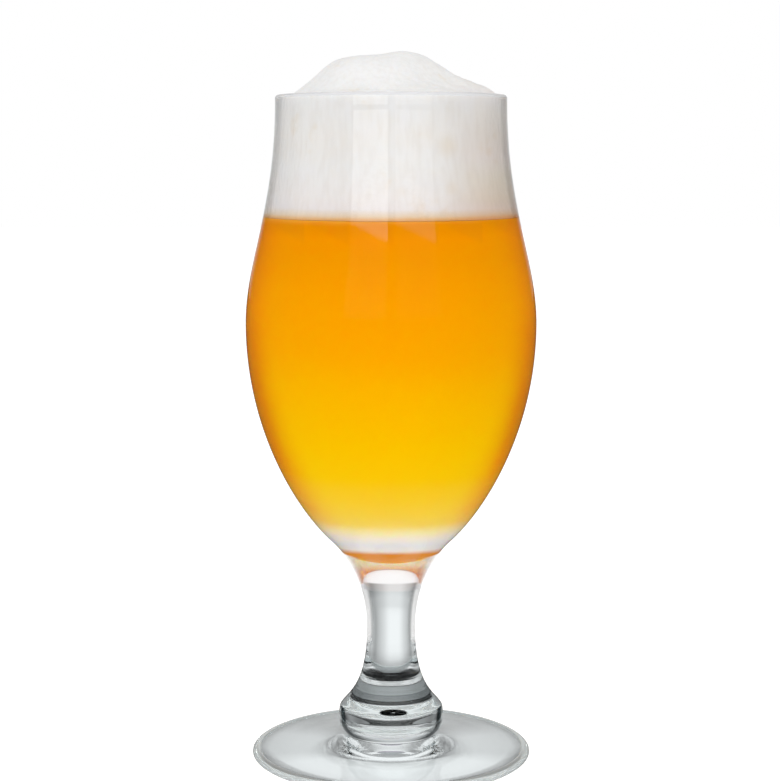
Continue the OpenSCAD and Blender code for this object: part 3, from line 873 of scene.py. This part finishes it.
# The mirrored room, by azimuth from straight in front
def mirroredRoom(tree, axes, rise):
    toFront = addNode(tree, "Math", {"operation": "MULTIPLY", 1: -1.0}, {0: axes.outputs["Y"]})
    faced = addNode(tree, "Math", {"operation": "ARCTAN2"}, {0: axes.outputs["X"], 1: toFront.outputs[0]})
    facing = addNode(tree, "Math", {"operation": "DEGREES"}, {0: faced.outputs[0]}).outputs[0]
    aside = addNode(tree, "Math", {"operation": "ABSOLUTE"}, {0: facing})
    mirrored = addNode(tree, "MapRange",
                       {"From Min": studio["backStart"], "From Max": studio["backFull"],
                        "To Min": studio["dim"], "To Max": studio["backLevel"]},
                       {"Value": aside.outputs[0]}).outputs["Result"]
    middle = (studio["windowLow"] + studio["windowHigh"]) / 2
    halfHeight = (studio["windowHigh"] - studio["windowLow"]) / 2
    upright = addNode(tree, "Math", {"operation": "COMPARE", 1: middle, 2: halfHeight}, {0: rise})
    for azimuth, halfWidth, strength in studio["windows"]:
        across = addNode(tree, "Math", {"operation": "COMPARE", 1: azimuth, 2: halfWidth}, {0: facing})
        pane = addNode(tree, "Math", {"operation": "MULTIPLY"}, {0: across.outputs[0], 1: upright.outputs[0]})
        mirrored = addNode(tree, "Math", {"operation": "MULTIPLY_ADD", 1: strength},
                           {0: pane.outputs[0], 2: mirrored}).outputs[0]
    return mirrored


# The sky is white for the camera. Through glass it is white too, with the soft dark corners of a studio,
# and what the glass mirrors is a dim room with two tall windows in front.
def paintSky():
    scene.world = bpy.data.worlds.new("whiteStudio")
    tree = startTree(scene.world)
    place = addNode(tree, "TexCoord")
    axes = addNode(tree, "SeparateXYZ", links={0: place.outputs["Generated"]})
    path = addNode(tree, "LightPath")
    turned = addNode(tree, "Math", {"operation": "ARCTAN2"}, {0: axes.outputs["X"], 1: axes.outputs["Y"]})
    lean = addNode(tree, "Math", {"operation": "ARCSINE"}, {0: axes.outputs["Z"]})
    rise = addNode(tree, "Math", {"operation": "DEGREES"}, {0: lean.outputs[0]}).outputs[0]

    through = backdrop(tree, turned.outputs[0], rise)
    mirrored = mirroredRoom(tree, axes, rise)
    # camera 1, transmission the backdrop, mirror the room, all else plain soft light
    soft = addNode(tree, "Math", {"operation": "MULTIPLY_ADD", 1: 1.0 - studio["sky"], 2: studio["sky"]},
                   {0: path.outputs["Is Camera Ray"]})
    asSeen = addNode(tree, "Mix", {"data_type": "FLOAT"},
                     {0: path.outputs["Is Glossy Ray"], 2: soft.outputs[0], 3: mirrored})
    asPassed = addNode(tree, "Mix", {"data_type": "FLOAT"},
                       {0: path.outputs["Is Transmission Ray"], 2: asSeen.outputs[0], 3: through})
    sky = addNode(tree, "Background", {"Color": (1, 1, 1, 1)}, {"Strength": asPassed.outputs[0]})
    addNode(tree, "OutputWorld", links={"Surface": sky.outputs[0]})


def addSoftbox(name, place, size, watts):
    lamp = bpy.data.lights.new(name, "AREA")
    lamp.shape = "SQUARE"
    lamp.size = size
    lamp.energy = watts
    softbox = bpy.data.objects.new(name, lamp)
    softbox.location = place
    away = softbox.location.copy()
    away.z -= studio["aimHeight"]
    softbox.rotation_euler = away.to_track_quat("Z", "Y").to_euler()
    softbox.visible_glossy = False
    softbox.visible_transmission = False
    softbox.visible_camera = False
    scene.collection.objects.link(softbox)


def placeCamera():
    camera = bpy.data.objects.new("photoCamera", bpy.data.cameras.new("photoCamera"))
    camera.location = studio["cameraPlace"]
    camera.rotation_euler = (math.radians(90 - studio["cameraPitch"]), 0, 0)
    camera.data.lens = studio["lens"]
    camera.data.sensor_width = studio["sensor"]
    camera.data.clip_start = studio["nearest"]
    scene.collection.objects.link(camera)
    scene.camera = camera


makeFloor()
paintSky()
addSoftbox("keySoftbox", studio["keyPlace"], studio["keySize"], studio["keyWatts"])
addSoftbox("fillSoftbox", studio["fillPlace"], studio["fillSize"], studio["fillWatts"])
placeCamera()
scene.view_settings.view_transform = "Standard"
for name, count in studio["bounces"].items():
    setattr(scene.cycles, name, count)
print("studio set")
